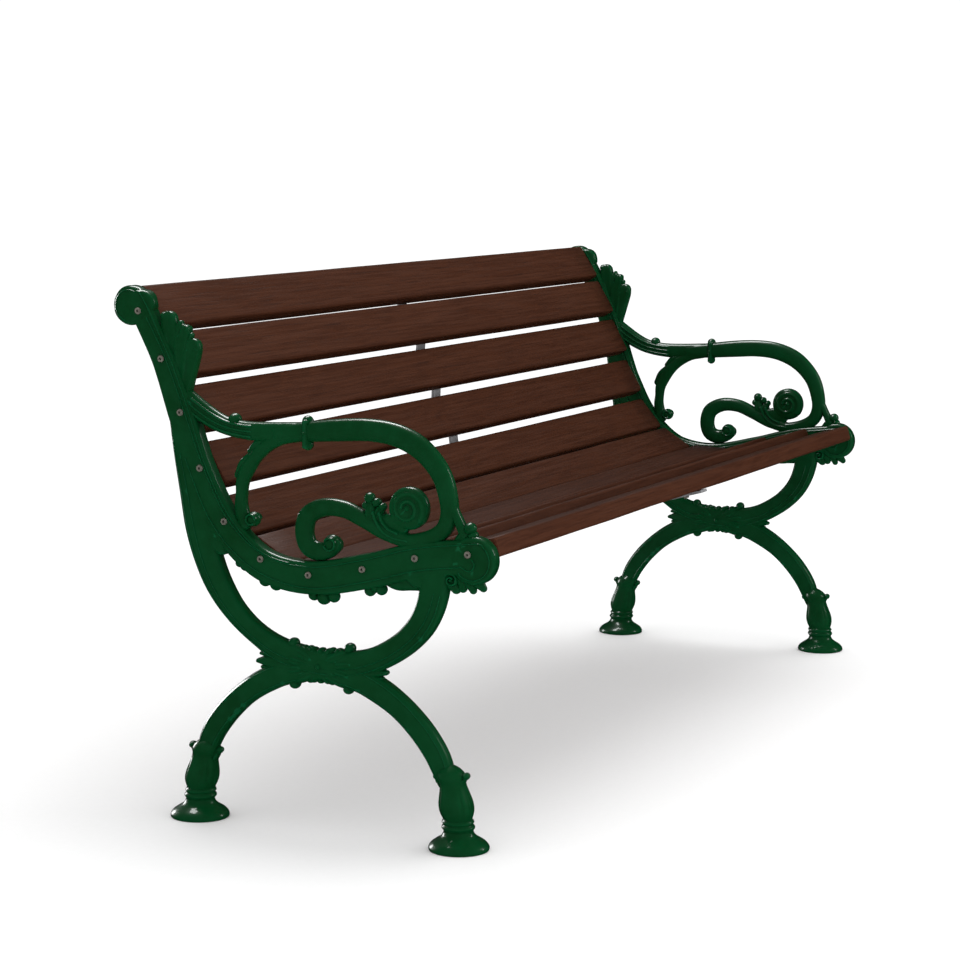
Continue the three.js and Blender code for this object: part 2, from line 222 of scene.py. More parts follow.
def turned(y, z, profile, sides):
    """A boss turned about a line square to the casting: [radius, lift] from rim to middle."""
    angle = np.linspace(0, 2 * math.pi, sides, endpoint=False)
    rows = [(radius, -lift) for radius, lift in profile[::-1]] + list(profile)
    rings = [
        np.stack([np.full(sides, lift), y + radius * np.cos(angle), z + radius * np.sin(angle)], axis=1)
        for radius, lift in rows
    ]
    return Solid(np.array(rings))


def ball(y, z, radius, lift):
    """A round knob on both faces."""
    turns = np.radians([0, 15, 30, 45, 60, 74, 86])
    return turned(y, z, [(radius * math.cos(turn), max(0.4, lift * math.sin(turn))) for turn in turns],
                  24)


def frond(stations, thickness, vein=0.16):
    """A leaf's finger with a sunk vein, thickest past its middle and thin at its tip."""
    line = line_through(stations, FINE_STEP)
    share = np.linspace(0, 1, len(line))
    lift = thickness * (0.8 + 0.2 * np.sin(math.pi * share)) * (1 - 0.25 * share ** 3)
    across, rise = oval(line[:, 2], lift, count=13, power=2.2,
                        relief=lambda a: -vein * np.exp(-(a / 0.22) ** 2))
    return swept(line, across, rise, blunt=(0.8, 1.1), taper=0.7)


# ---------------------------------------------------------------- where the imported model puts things
frame_low, frame_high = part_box("left_end_frame")
DEPTH_SCALE = (frame_high.y - frame_low.y) / DRAWN_DEPTH
HEIGHT_SCALE = frame_high.z / DRAWN_HEIGHT
FRAME_X = {
    side: sum(corner.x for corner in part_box(f"{side}_end_frame")) / 2 for side in SIDES
}


def middle_of(node):
    low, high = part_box(node)
    return (low + high) / 2


def on_drawing(place):
    """A place in the model, in metres, as [y, z] on the drawing."""
    return [
        (place.y - frame_low.y) / DEPTH_SCALE - DRAWN_DEPTH / 2,
        place.z / HEIGHT_SCALE,
    ]


SCREW_PLACES = [on_drawing(middle_of(f"{slat}_left_screw")) for slat in SLATS]
TOP_RADIUS = 30.5
FRONT_RADIUS = 36
CREST_RADIUS = 22
TOP_ROUNDEL = (DRAWN_DEPTH / 2 - TOP_RADIUS, DRAWN_HEIGHT - TOP_RADIUS)
FRONT_ROUNDEL = (-DRAWN_DEPTH / 2 + FRONT_RADIUS, 438)
CREST = (274, DRAWN_HEIGHT - 6 - CREST_RADIUS)


# ---------------------------------------------------------------- mouldings of the casting
def arc(centre, radius, start, end, step=4):
    """Points on a circle from one angle to another, in degrees from +Y towards +Z."""
    count = max(3, math.ceil(abs(math.radians(end - start)) * radius / step))
    angle = np.radians(np.linspace(start, end, count))
    return np.stack([centre[0] + radius * np.cos(angle), centre[1] + radius * np.sin(angle)], axis=1)


def bead(path, half=2.1, lift=14.4):
    """A raised bead that follows a path on both faces."""
    path = np.array(path, float)
    line = line_through(np.column_stack([path, np.full(len(path), half)]), LINE_STEP)
    across, rise = oval(line[:, 2], lift, count=11, power=2.6)
    return swept(line, across, rise, blunt=(1, 1), taper=0.3)


def beside(line, distance):
    """The path that runs at a distance from a line; distance is one number or one per ring."""
    side, _ = square_to(line)
    return line[:, :2] + side * np.broadcast_to(distance, len(line))[:, None]


def thinned(path, every):
    """Every so many points of a path, with its last one."""
    return np.vstack([path[:-1:every], path[-1:]])


rail_line = line_through(
    [[y, z, number / (len(SCREW_PLACES) - 1)] for number, (y, z) in enumerate(SCREW_PLACES)], LINE_STEP)
rail_share = rail_line[:, 2]
rail_front = np.interp(rail_share, RAIL_WIDTHS[:, 0], RAIL_WIDTHS[:, 1])
rail_back = np.interp(rail_share, RAIL_WIDTHS[:, 0], RAIL_WIDTHS[:, 2])


def crown(across, front, back):
    """Slight fullness of a cast face between its edges."""
    share = (across + (front - back) / 2) / ((front + back) / 2)
    return 0.9 * (1 - share ** 2)


def screw_track(across, front, back):
    """The shallow flat track that the screw heads sit in."""
    return -0.5 * np.exp(-(across / 6) ** 4)


def rail():
    """The rail that carries the slats, with its beads."""
    across, lift = plate(rail_front, rail_back, PLATE, 14, screw_track, edge=6)
    solids = [swept(rail_line, across, lift, blunt=(0.2, 0.5), taper=0.4)]
    beside_screws = -np.interp(rail_share, [0, 0.33, 0.56, 0.67, 1], [8, 6.5, 8, 12.5, 15])
    near_sitter = 5.5 - rail_front
    far_edge = np.interp(rail_share, [0, 0.4, 0.63, 1], [12, 20, 20, 18])
    on_back = rail_share < 0.62
    behind = rail_share > 0.3
    inner = thinned(beside(rail_line, near_sitter)[on_back], 5)
    outer = thinned(beside(rail_line, far_edge)[behind][:-3], 5)
    roundel_rim = arc(FRONT_ROUNDEL, FRONT_RADIUS - 7.5, 112, 318, step=9)
    top_rim = arc(TOP_ROUNDEL, TOP_RADIUS - 6.5, -70, 80, step=9)
    solids += [
        bead(np.vstack([top_rim, [[283, 812], [268, 803]], inner[4:]]), half=2),
        bead(np.vstack([thinned(beside(rail_line, beside_screws)[4:-4], 5), roundel_rim])),
        bead(np.vstack([outer, arc((-282, 432), 9, 300, 130, step=4)])),
    ]
    return solids


def webs():
    """Flat webs between the seat rail and both ends of the arch."""
    solids = []
    behind = [[160, 455, 16], [147, 440, 18], [136, 432, 16]]
    ahead = [[-178, 410, 8], [-200, 405, 15], [-224, 412, 14]]
    for stations in (behind, ahead):
        line = line_through(stations, FINE_STEP)
        across, lift = plate(line[:, 2], line[:, 2], PLATE - 1.5, 10, crown)
        solids.append(swept(line, across, lift, blunt=(0.6, 1)))
    return solids


def roundels():
    """Round caps at both ends of the rail, and the crest in front of the top one."""
    def cap(centre, radius):
        return turned(*centre, [
            (radius, 0.5), (radius, 7.5), (radius - 1, 10), (radius - 3, 12), (radius - 6, 13),
            (radius - 11, 13), (radius * 0.4, 12.4), (1.5, 12.4),
        ], sides=56)
    line = line_through([[290, 789, 27], [282, 791, 25], [274, 793, CREST_RADIUS]], FINE_STEP)
    across, lift = plate(line[:, 2], line[:, 2], PLATE, 12, crown)
    crest = swept(line, across, lift, blunt=(1, 1))
    return [cap(TOP_ROUNDEL, TOP_RADIUS), crest, cap(FRONT_ROUNDEL, FRONT_RADIUS)]


def arch():
    """The sweep from the back rail, under the seat and up to the front."""
    line = line_through(UPPER_ARCH, LINE_STEP)
    across, lift = plate(line[:, 2], line[:, 2], PLATE - 0.6, 12, crown, edge=7)
    outer = thinned(beside(line, line[:, 2] * 0.70), 5)
    middle = thinned(beside(line, line[:, 2] * 0.22), 5)
    return [
        swept(line, across, lift, blunt=(0.3, 0.3)),
        bead(outer[2:-2], half=2, lift=14.2),
        bead(middle[3:-2], half=1.8, lift=14.4),
    ]


def legs():
    """The lower arch: one leg each way from the crossing down into its foot."""
    solids = []
    for direction in (1, -1):
        stations = [[ARCH_MIDDLE + direction * (y - ARCH_MIDDLE), z, half] for y, z, half in LEG]
        line = line_through(stations, LINE_STEP)
        across, lift = plate(line[:, 2], line[:, 2], PLATE - 0.6, 12, crown, edge=7)
        solids.append(swept(line, across, lift, blunt=(0.1, 0.3)))
        for share in (-0.72, 0.72):
            path = thinned(beside(line, line[:, 2] * share), 4)
            solids.append(bead(path[2:], half=1.9, lift=13.4))
    return solids


def ring_across(y, z, half, width, lift):
    """Line and section of a ring that stands across a moulding."""
    line = line_through([[y, z - half, width], [y, z - half / 3, width], [y, z + half / 3, width],
                         [y, z + half, width]], FINE_STEP)
    across, rise = oval(line[:, 2], lift, count=11, power=2.4)
    return line, across, rise, (0.4, 0.4), 0.6


def arm():
    """The arm rest, from the back rail round to the seat, with its loop, toe, knob and collar."""
    rear = line_through(ARM_REAR, LINE_STEP)
    front = line_through(ARM_FRONT, LINE_STEP)
    loop = line_through(ARM_LOOP, LINE_STEP)
    toe = line_through(ARM_TOE, LINE_STEP)
    solids = []
    for line, thickness, power in ((front, ARM, 2.8), (loop, 10, 2.4), (toe, 10, 2.3), (rear, ARM - 1, 2.8)):
        across, rise = oval(line[:, 2], thickness, count=17, power=power)
        solids.append(swept(line, across, rise, blunt=(0.8, 0.8)))
    for share in (-0.55, 0.0, 0.55):
        path = thinned(beside(rear, rear[:, 2] * share), 4)
        solids.append(bead(path[1:-5], half=3, lift=12.2))
    # knob where the leaf ends, and the collar with its ball
    solids += [ball(115, 624, 10, 11.5), ball(114, 612, 3.5, 12.8), ball(112, 603, 3, 12.2)]
    solids.append(swept(*ring_across(-10, 609, 20, 6, 14)))
    solids += [ball(-10, 628, 8.5, 9.5), ball(-10, 592, 8, 9.5), ball(-9, 610, 5, 15.4)]
    # leaf steps on the outside of the loop, and the curl at its foot
    solids += [
        frond([[58, 591, 9], [74, 588, 9], [87, 578, 6]], 9.5),
        frond([[80, 572, 10], [98, 557, 10], [109, 541, 7]], 9.5),
        ball(84, 474, 11.5, 11.5),
        bead(arc((84, 474), 7.5, -120, 170, step=4), half=2.6, lift=12.8),
    ]
    return solids


def scroll():
    """The S-scroll on the seat rail: ball, bow, bud and volute."""
    line = line_through(SEAT_SCROLL, LINE_STEP)
    across, rise = oval(line[:, 2], ARM - 0.5, count=17, power=2.5)
    solids = [swept(line, across, rise, blunt=(1, 0.6))]
    solids += [ball(-51, 446, 14, 13.5), bead(arc((-51, 446), 9, 40, 330, step=5), half=2.6, lift=14)]

    # volute: a spiral roll that rises to its eye, on a thinner disc
    heart = (-180, 508)
    turn = np.linspace(0, 1, 34)
    angle = np.radians(215 - 560 * turn)
    radius = 25.5 - 17 * turn
    spiral = np.column_stack([
        heart[0] + radius * np.cos(angle), heart[1] + radius * np.sin(angle), 7.4 - 2.2 * turn,
    ])
    line = line_through(spiral, FINE_STEP)
    across, rise = oval(line[:, 2], np.linspace(11.4, 14.6, len(line)), count=13, power=2)
    solids += [
        swept(line, across, rise, blunt=(1.2, 1)),
        turned(*heart, [(32, 0.5), (32, 4), (30.5, 7.5), (26, 10), (12, 11.8), (1.5, 12.4)], sides=56),
        ball(heart[0] - 1, heart[1] + 1, 7, 15.8),
    ]
    # the hollow between the bud and the volute is filled
    hollow = line_through([[-128, 486, 9], [-140, 484, 13], [-154, 484, 15], [-170, 482, 14]], FINE_STEP)
    across, rise = oval(hollow[:, 2], 8.5, count=13, power=3)
    solids.append(swept(hollow, across, rise, blunt=(0.8, 0.8)))
    # ridges that run from the bud under the volute
    for path, half in (
        ([[-124, 498], [-130, 484], [-141, 471], [-158, 463], [-180, 460]], 3.6),
        ([[-134, 498], [-139, 486], [-149, 476], [-163, 470]], 3),
    ):
        solids.append(bead(path, half=half, lift=12.6))
    solids += [
        ball(-114, 519, 8.5, 10), ball(-126, 513, 7, 9.5), ball(-136, 507, 6, 9), ball(-109, 508, 7, 10),
        frond([[-116, 484, 10], [-117, 498, 10], [-116, 512, 7]], 11),
        frond([[-124, 484, 10], [-130, 498, 8], [-136, 508, 5]], 11),
    ]
    return solids


def bud():
    """Cluster of buds between the arm rest and the front roundel."""
    return [
        frond([[-262, 464, 9], [-270, 474, 9], [-276, 484, 7]], 11),
        ball(-268, 483, 7.5, 10), ball(-279, 484, 9.5, 11), ball(-284, 474, 7.5, 11),
    ]


def cupped(stations, thickness):
    """A broad lobe of a leaf, raised along its rim and hollow in its middle."""
    line = line_through(stations, FINE_STEP)
    across, rise = oval(line[:, 2], thickness, count=19, power=3,
                        relief=lambda a: 0.13 * np.abs(a) ** 3 - 0.14 * np.exp(-(a / 0.5) ** 2))
    return swept(line, across, rise, blunt=(0.9, 1), taper=0.6)


def back_leaf():
    """Acanthus leaf up the front of the back."""
    lobes = [
        ([[214, 690, 9], [222, 728, 14], [227, 758, 14.5], [228, 771, 13]], 9.4),
        ([[207, 690, 8], [205, 728, 11], [200, 750, 9], [198, 757, 7]], 10),
        ([[200, 660, 8], [194, 694, 12], [188, 722, 14], [186, 731, 13]], 9.6),
    ]
    solids = [cupped(stations, thickness) for stations, thickness in lobes]
    fingers = [
        ([[212, 680, 5], [213, 716, 6], [212, 748, 6], [208, 766, 4]], 10.4),
        ([[203, 668, 5], [199, 706, 6], [194, 734, 5], [190, 748, 4]], 10.6),
        ([[220, 706, 4], [229, 738, 5], [238, 770, 4]], 10.2),
    ]
    solids += [frond(stations, thickness, vein=0.05) for stations, thickness in fingers]
    bed = line_through([[208, 664, 9], [206, 700, 17], [206, 732, 19], [210, 756, 13]], FINE_STEP)
    across, rise = oval(bed[:, 2], 7.5, count=13, power=3)
    solids += [swept(bed, across, rise, blunt=(0.8, 0.8)), ball(236, 776, 7, 9), ball(179, 727, 6, 10)]
    return solids


def rail_leaves():
    """Leaves that hang from the seat rail."""
    lobes = [
        (108, 405, 7, 9), (98, 402, 9, 10), (83, 396, 9, 10), (64, 382, 10, 10), (45, 377, 10, 10.5),
        (-20, 366, 9, 10), (-37, 363, 11, 11.5), (-54, 366, 9.5, 10), (-115, 380, 9, 10),
        (-134, 383, 9, 10), (-125, 386, 9, 10.6),
    ]
    fingers = [
        ([[116, 424, 9], [106, 410, 8], [99, 400, 5]], 11),
        ([[80, 404, 9], [70, 392, 8], [64, 382, 5]], 11.4),
        ([[60, 400, 9], [51, 386, 8], [45, 376, 5]], 11.8),
        ([[-26, 386, 8], [-22, 376, 7], [-19, 365, 5]], 11.4),
        ([[-36, 386, 9], [-37, 374, 8], [-37, 360, 5]], 12.8),
        ([[-48, 386, 8], [-52, 376, 7], [-55, 366, 5]], 11.4),
        ([[-104, 396, 8], [-110, 388, 7], [-115, 379, 5]], 11.2),
        ([[-122, 398, 8], [-130, 391, 7], [-135, 382, 5]], 11.2),
        ([[-136, 406, 11], [-160, 397, 13], [-184, 396, 11], [-205, 394, 8]], 10.8),
    ]
    solids = [ball(*lobe) for lobe in lobes]
    return solids + [frond(stations, thickness) for stations, thickness in fingers]


def front_leaves():
    """Small volute and leaves where the arch meets the front roundel."""
    turn = np.linspace(0, 1, 22)
    angle = np.radians(20 + 470 * turn)
    radius = 11 - 7.5 * turn
    spiral = np.column_stack([
        -252 + radius * np.cos(angle), 407 + radius * np.sin(angle), 3.4 - 1.0 * turn,
    ])
    line = line_through(spiral, 2.5)
    across, rise = oval(line[:, 2], np.linspace(12.5, 14, len(line)), count=11, power=2.2)
    fingers = [
        ([[-262, 418, 9], [-268, 406, 9], [-268, 396, 7]], 9.6),
        ([[-272, 416, 9], [-280, 403, 8], [-284, 394, 6]], 9.4),
        ([[-284, 414, 8], [-294, 404, 8], [-300, 398, 6]], 9),
        ([[-244, 414, 12], [-250, 402, 11], [-256, 394, 8]], 10),
    ]
    solids = [frond(stations, thickness) for stations, thickness in fingers]
    solids += [swept(line, across, rise, blunt=(1, 1)), ball(-252, 407, 4, 14.5)]
    return solids


def knot():
    """Leafy knot where the arch and the legs cross."""
    middle = [[KNOT_MIDDLE - 34, 258, 18], [KNOT_MIDDLE, 258, 22], [KNOT_MIDDLE + 34, 258, 18]]
    line = line_through(middle, FINE_STEP)
    across, rise = oval(line[:, 2], 14, count=17, power=2.8)
    solids = [swept(line, across, rise, blunt=(0.8, 0.8))]
    for direction in (1, -1):
        def out(stations):
            return [[KNOT_MIDDLE + direction * y, z, half] for y, z, half in stations]
        fingers = [
            ([[2, 258, 9], [34, 259, 15], [70, 258, 17], [92, 258, 10], [108, 257, 4]], 15.5),
            ([[56, 266, 9], [84, 269, 8], [103, 269, 3]], 13.6),
            ([[56, 250, 9], [84, 247, 8], [101, 248, 3]], 13.6),
            ([[6, 263, 9], [20, 271, 10], [36, 278, 9], [50, 284, 6]], 16),
            ([[6, 253, 9], [20, 244, 10], [36, 237, 9], [48, 231, 6]], 16),
            ([[3, 266, 7], [10, 276, 7], [18, 282, 6]], 14),
            ([[3, 250, 7], [10, 241, 7], [18, 236, 6]], 14),
            ([[20, 260, 7], [44, 264, 9], [66, 267, 6]], 16.6),
            ([[20, 256, 7], [44, 251, 9], [66, 248, 6]], 16.6),
        ]
        solids += [frond(out(stations), thickness, vein=0.12) for stations, thickness in fingers]
        solids += [
            ball(KNOT_MIDDLE + direction * 48, 289, 8.5, 12),
            ball(KNOT_MIDDLE + direction * 46, 227, 8.5, 12),
            ball(KNOT_MIDDLE + direction * 30, 281, 7, 12.5),
            ball(KNOT_MIDDLE + direction * 13, 280, 6.5, 12.5),
            ball(KNOT_MIDDLE + direction * 29, 237, 6.5, 12.5),
            ball(KNOT_MIDDLE + direction * 12, 237, 6, 12.5),
        ]
    solids += [ball(KNOT_MIDDLE, 281, 5.5, 12), ball(KNOT_MIDDLE, 236, 5, 12), ball(KNOT_MIDDLE, 258, 7, 18)]
    return solids


# ---------------------------------------------------------------- turned feet
FOOT_SPREAD = 447
FOOT_LEAN = 17
FOOT_PROFILE = [
    (44.5, 0), (45.6, 1.2), (46, 3.2), (45.6, 5.6), (44, 8.6), (40.5, 12.2), (35, 15.8), (29, 19.4),
    (24.6, 23.4), (22.6, 28), (22.4, 30.6), (24.2, 32.2), (25.4, 34.6), (24.6, 37), (22.8, 38.6),
    (22.8, 40.4), (24.4, 42.6), (23.6, 45), (22, 46.6), (22.4, 49), (24, 54), (25.2, 60), (25.4, 66),
    (24.6, 73), (22.8, 81), (21, 89), (19.8, 96), (19.8, 101), (21, 105), (22, 109), (21.6, 113),
    (20.2, 117), (17, 121), (12, 125), (6, 128),
]
BULB_FOOT = 48
BULB_HEAD = 104


def foot(direction):
    """A foot turned about a leaning line, with four leaves up its bulb."""
    sides = 64
    angle = np.linspace(0, 2 * math.pi, sides, endpoint=False)
    heights = np.array([height for _, height in FOOT_PROFILE])
    radii = np.array([radius for radius, _ in FOOT_PROFILE])
    fine = np.interp(np.linspace(0, 1, 84), np.linspace(0, 1, len(heights)), heights)
    fine_radii = np.interp(np.linspace(0, 1, 84), np.linspace(0, 1, len(radii)), radii)
    rings = []
    for radius, height in zip(fine_radii, fine):
        share = np.clip((height - BULB_FOOT) / (BULB_HEAD - BULB_FOOT), 0, 1)
        on_bulb = math.sin(math.pi * share) ** 0.7
        leaf = np.abs(np.sin(2 * angle)) ** (0.6 + 1.6 * share)
        vein = np.exp(-((angle + math.pi / 4) % (math.pi / 2) / 0.10) ** 2)
        swell = on_bulb * (3.2 * leaf - 1.6 * vein - 1.2)
        lean = direction * FOOT_LEAN * (height / 127) ** 2
        middle = FEET_MIDDLE + direction * FOOT_SPREAD / 2 - lean
        rings.append(np.stack([
            (radius + swell) * np.cos(angle), middle + (radius + swell) * np.sin(angle),
            np.full(sides, height),
        ], axis=1))
    return Solid(np.array(rings))


def foot_knobs(direction):
    """Knobs at both sides of the collar, where the leg stands in the foot."""
    middle = FEET_MIDDLE + direction * (FOOT_SPREAD / 2 - FOOT_LEAN * 0.75)
    solids = []
    for side, height in ((1, 113), (-1, 109)):
        y = middle + direction * side * 24
        solids.append(ball(y, height, 5.6, 9))
        solids.append(frond([
            [middle + direction * side * 12, height - 16, 6],
            [middle + direction * side * 18, height - 8, 5],
            [middle + direction * side * 23, height - 1, 4],
        ], 10))
    return solids


# ---------------------------------------------------------------- one casting
def joined(first, others, operation="UNION"):
    """Joins solids to a first one, or cuts them from it, one after another."""
    host = bpy.data.objects.new("joining", first)
    bpy.context.scene.collection.objects.link(host)
    for mesh in others:
        tool = bpy.data.objects.new("tool", mesh)
        bpy.context.scene.collection.objects.link(tool)
        step = host.modifiers.new("step", "BOOLEAN")
        step.operation = operation
        step.solver = "MANIFOLD"
        step.object = tool
        bpy.context.view_layer.update()
        result = bpy.data.meshes.new_from_object(
            host.evaluated_get(bpy.context.evaluated_depsgraph_get()))
        host.modifiers.clear()
        old = host.data
        host.data = result
        bpy.data.meshes.remove(old)
        bpy.data.objects.remove(tool)
    made = host.data
    bpy.data.objects.remove(host)
    return made


def round_bar(y, z, radius, reach, sides=24):
    """A round bar through the casting, to cut a hole with."""
    angle = np.linspace(0, 2 * math.pi, sides, endpoint=False)
    return Solid(np.array([
        np.stack([np.full(sides, x), y + radius * np.cos(angle), z + radius * np.sin(angle)], axis=1)
        for x in (-reach, reach)
    ]))


def facing_out(mesh):
    """Turns a solid's faces outwards."""
    work = bmesh.new()
    work.from_mesh(mesh)
    bmesh.ops.recalc_face_normals(work, faces=work.faces)
    work.to_mesh(mesh)
    work.free()
    return mesh


def casting_mesh():
    """One whole end frame, with its screw holes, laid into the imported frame's box."""
    solids = [
        *rail(), *webs(), *roundels(), *arch(), *legs(), *arm(), *scroll(), *bud(), *back_leaf(),
        *rail_leaves(), *front_leaves(), *knot(),
    ]
    for direction in (1, -1):
        solids += [foot(direction), *foot_knobs(direction)]
    meshes = [facing_out(solid.mesh(f"cast_{number}")) for number, solid in enumerate(solids)]
    whole = joined(meshes[0], meshes[1:])
    holes = [
        facing_out(round_bar(y, z, SCREW_HOLE, 2 * PLATE).mesh("hole")) for y, z in SCREW_PLACES
    ]
    whole = joined(whole, holes, "DIFFERENCE")
    corners = np.empty(len(whole.vertices) * 3)
    whole.vertices.foreach_get("co", corners)
    corners = corners.reshape(-1, 3)
    laid = np.stack([
        corners[:, 0] * MM,
        frame_low.y + (corners[:, 1] + DRAWN_DEPTH / 2) * DEPTH_SCALE,
        corners[:, 2] * HEIGHT_SCALE,
    ], axis=1)
    whole.vertices.foreach_set("co", laid.reshape(-1))
    whole.update()
    return whole


# ---------------------------------------------------------------- finishes
class Value:
    """A number socket that can be used in sums; each sum adds its Math node."""

    def __init__(self, finish, socket):
        self.finish = finish
        self.socket = socket

    def _math(self, operation, *terms):
        return self.finish.node("Math", {"operation": operation}, dict(enumerate(terms)))

    def __add__(self, other):
        return self._math("ADD", self, other)

    __radd__ = __add__

    def __sub__(self, other):
        return self._math("SUBTRACT", self, other)

    def __rsub__(self, other):
        return self._math("SUBTRACT", other, self)

    def __mul__(self, other):
        return self._math("MULTIPLY", self, other)

    __rmul__ = __mul__

    def sine(self):
        return self._math("SINE", self)

    def between(self, low, high):
        """0 below low and 1 above high, smooth between them."""
        return self.finish.node("MapRange", {"interpolation_type": "SMOOTHSTEP"},
                                {0: self, 1: low, 2: high, 3: 0.0, 4: 1.0})


class Finish:
    """A node material; node() adds a node and gives its output as a Value."""

    def __init__(self, name):
        self.material = bpy.data.materials.new(name)
        self.material.use_nodes = True
        self.tree = self.material.node_tree
        self.tree.nodes.clear()

    def node(self, kind, settings, inputs, output=0):
        made = self.tree.nodes.new("ShaderNode" + kind)
        for key, value in settings.items():
            setattr(made, key, value)
        for key, value in inputs.items():
            socket = made.inputs[key]
            if isinstance(value, Value):
                self.tree.links.new(value.socket, socket)
            else:
                socket.default_value = value
        return Value(self, made.outputs[output])

    def place(self):
        return self.node("TexCoord", {}, {}, "Object")

    def stretched(self, place, stretch):
        return self.node("VectorMath", {"operation": "MULTIPLY"}, {0: place, 1: stretch})

    def noise(self, place, scale, detail=2.0, roughness=0.5, distortion=0.0):
        return self.node("TexNoise", {}, {
            "Vector": place, "Scale": scale, "Detail": detail, "Roughness": roughness,
            "Distortion": distortion,
        })

    def mix(self, share, first, second):
        """Mixes two colours; a colour is three numbers or a Value."""
        colours = [c if isinstance(c, Value) else (*c, 1) for c in (first, second)]
        return self.node("Mix", {"data_type": "RGBA"}, {0: share, 6: colours[0], 7: colours[1]}, 2)

    def bump(self, height, strength, distance):
        return self.node("Bump", {}, {"Height": height, "Strength": strength, "Distance": distance})

    def surface(self, inputs):
        shader = self.node("BsdfPrincipled", {}, inputs)
        self.node_output(shader)
        return self.material

    def node_output(self, shader):
        out = self.tree.nodes.new("ShaderNodeOutputMaterial")
        self.tree.links.new(shader.socket, out.inputs["Surface"])


def green_enamel():
    """Glossy enamel over a casting, with painted shade darkening its hollows and a painted highlight making
    its edges paler.
    """
    f = Finish("green_enamel")
    place = f.place()
    drift = f.noise(place, 7.0, detail=3.0)
    mottle = f.noise(place, 55.0, detail=4.0, roughness=0.6)
    peel = f.noise(place, 520.0, detail=2.0)
    curve = f.node("NewGeometry", {}, {}, "Pointiness")
    # painted highlight: mask of the convex edges, from pointiness
    edge = curve.between(0.51, 0.60)
    # painted shade: mask of the hollows and creases, from pointiness, where shade would fall
    hollow = 1 - curve.between(0.40, 0.50)
    colour = f.mix(drift.between(0.35, 0.65), (0.0002, 0.036, 0.0075), (0.0002, 0.047, 0.0115))
    colour = f.mix(mottle.between(0.35, 0.75) * 0.35, colour, (0.0004, 0.060, 0.0170))
    # painted shade: the green is darkened in the hollows and creases
    colour = f.mix(hollow * 0.6, colour, (0.0001, 0.013, 0.0030))
    # painted highlight: the edges are lightened to a pale mint green
    colour = f.mix(edge * 0.5, colour, (0.0020, 0.110, 0.0420))
    height = mottle * 0.9 + peel * 0.10
    return f.surface({
        "Base Color": colour,
        "Roughness": 0.30 + mottle * 0.10 + hollow * 0.12,
        "Specular IOR Level": 0.12,
        "Coat Weight": 0.28,
        "Coat Roughness": 0.07,
        "Normal": f.bump(height, 0.22, 0.0012),
    })


def stained_wood():
    """Red-brown stain on straight-grained boards, with fine pores and wavy figure."""
    f = Finish("stained_wood")
    shift = f.node("Attribute", {"attribute_name": "board"}, {}, "Vector")
    place = f.node("VectorMath", {"operation": "ADD"}, {0: f.place(), 1: shift})
    figure = f.noise(f.stretched(place, (0.9, 9.0, 9.0)), 3.0, detail=3.0, distortion=0.6)
    grain = f.noise(f.stretched(place, (1.5, 60.0, 60.0)), 4.0, detail=5.0, roughness=0.62,
                    distortion=0.25)
    pores = f.noise(f.stretched(place, (9.0, 700.0, 700.0)), 1.0, detail=2.0)
    rings = ((figure * 46.0 + grain * 5.0).sine() * 0.5 + 0.5).between(0.15, 0.95)
    streak = grain.between(0.36, 0.66)
    pore = pores.between(0.56, 0.72)
    colour = f.mix(streak, (0.052, 0.0160, 0.0070), (0.070, 0.0228, 0.0104))
    colour = f.mix(rings * 0.30, colour, (0.078, 0.0260, 0.0122))
    colour = f.mix(figure.between(0.55, 0.75) * 0.35, colour, (0.047, 0.0142, 0.0063))
    colour = f.mix(pore * 0.40, colour, (0.024, 0.0078, 0.0038))
    height = streak * 0.5 + rings * 0.15 - pore * 0.6
    return f.surface({
        "Base Color": colour,
        "Roughness": 0.46 + streak * 0.10 + pore * 0.15 - rings * 0.05,
        "Specular IOR Level": 0.07,
        "Normal": f.bump(height, 0.35, 0.0006),
    })


def galvanised(name, light, dark, roughness):
    """Dull zinc: flecks of lighter and darker crystals, and a soft cloudy bloom."""
    f = Finish(name)
    place = f.place()
    flecks = f.node("TexVoronoi", {"feature": "F1"}, {"Vector": place, "Scale": 260.0}, "Color")
    fleck = f.node("SeparateColor", {}, {0: flecks})
    bloom = f.noise(place, 60.0, detail=4.0, roughness=0.65)
    scratch = f.noise(f.stretched(place, (900.0, 60.0, 60.0)), 1.0, detail=2.0)
    colour = f.mix(fleck * 0.55 + bloom * 0.35, dark, light)
    return f.surface({
        "Base Color": colour,
        "Metallic": 0.35,
        "Roughness": roughness + bloom * 0.18 - fleck * 0.06,
        "Normal": f.bump(bloom * 0.5 + scratch * 0.25, 0.18, 0.0004),
    })


def studio_floor():
    """Matt pale paper."""
    f = Finish("studio_floor")
    tooth = f.noise(f.place(), 90.0, detail=3.0)
    return f.surface({
        "Base Color": f.mix(tooth, (0.90, 0.90, 0.90), (0.93, 0.93, 0.93)),
        "Roughness": 0.9,
        "Specular IOR Level": 0.1,
    })


# ---------------------------------------------------------------- boards, screws and strap
BOARD_WIDTH = 0.073
BOARD_THICKNESS = 0.030
BOARD_ROUND = 0.0055
STRAP_THICKNESS = 0.005
CLEARANCE = 0.0003    # between pieces that lie on each other
HEAD_HEIGHT = 0.0033


class Seat:
    """Where a slat lies: its middle, the way its back faces, and the way down the slats."""

    def __init__(self, slat):
        end = middle_of(f"{slat}_left_screw")
        low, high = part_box(slat)
        self.low_x = low.x
        self.high_x = high.x
        self.centre = Vector((0, end.y, end.z))
        fixing = middle_of(f"{slat}_strap_screw")
        self.back = Vector((0, fixing.y - end.y, fixing.z - end.z)).normalized()
        self.along = Vector((0, self.back.z, -self.back.y))

    def at(self, x, down, out):
        return Vector((x, 0, 0)) + self.centre + self.along * down + self.back * out


def piece(name, mesh, material, node):
    """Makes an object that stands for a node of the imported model."""
    made = bpy.data.objects.new(name, mesh)
    bpy.context.scene.collection.objects.link(made)
    mesh.materials.clear()
    mesh.materials.append(material)
    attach(made, BODY)
    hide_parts(node)
    return made


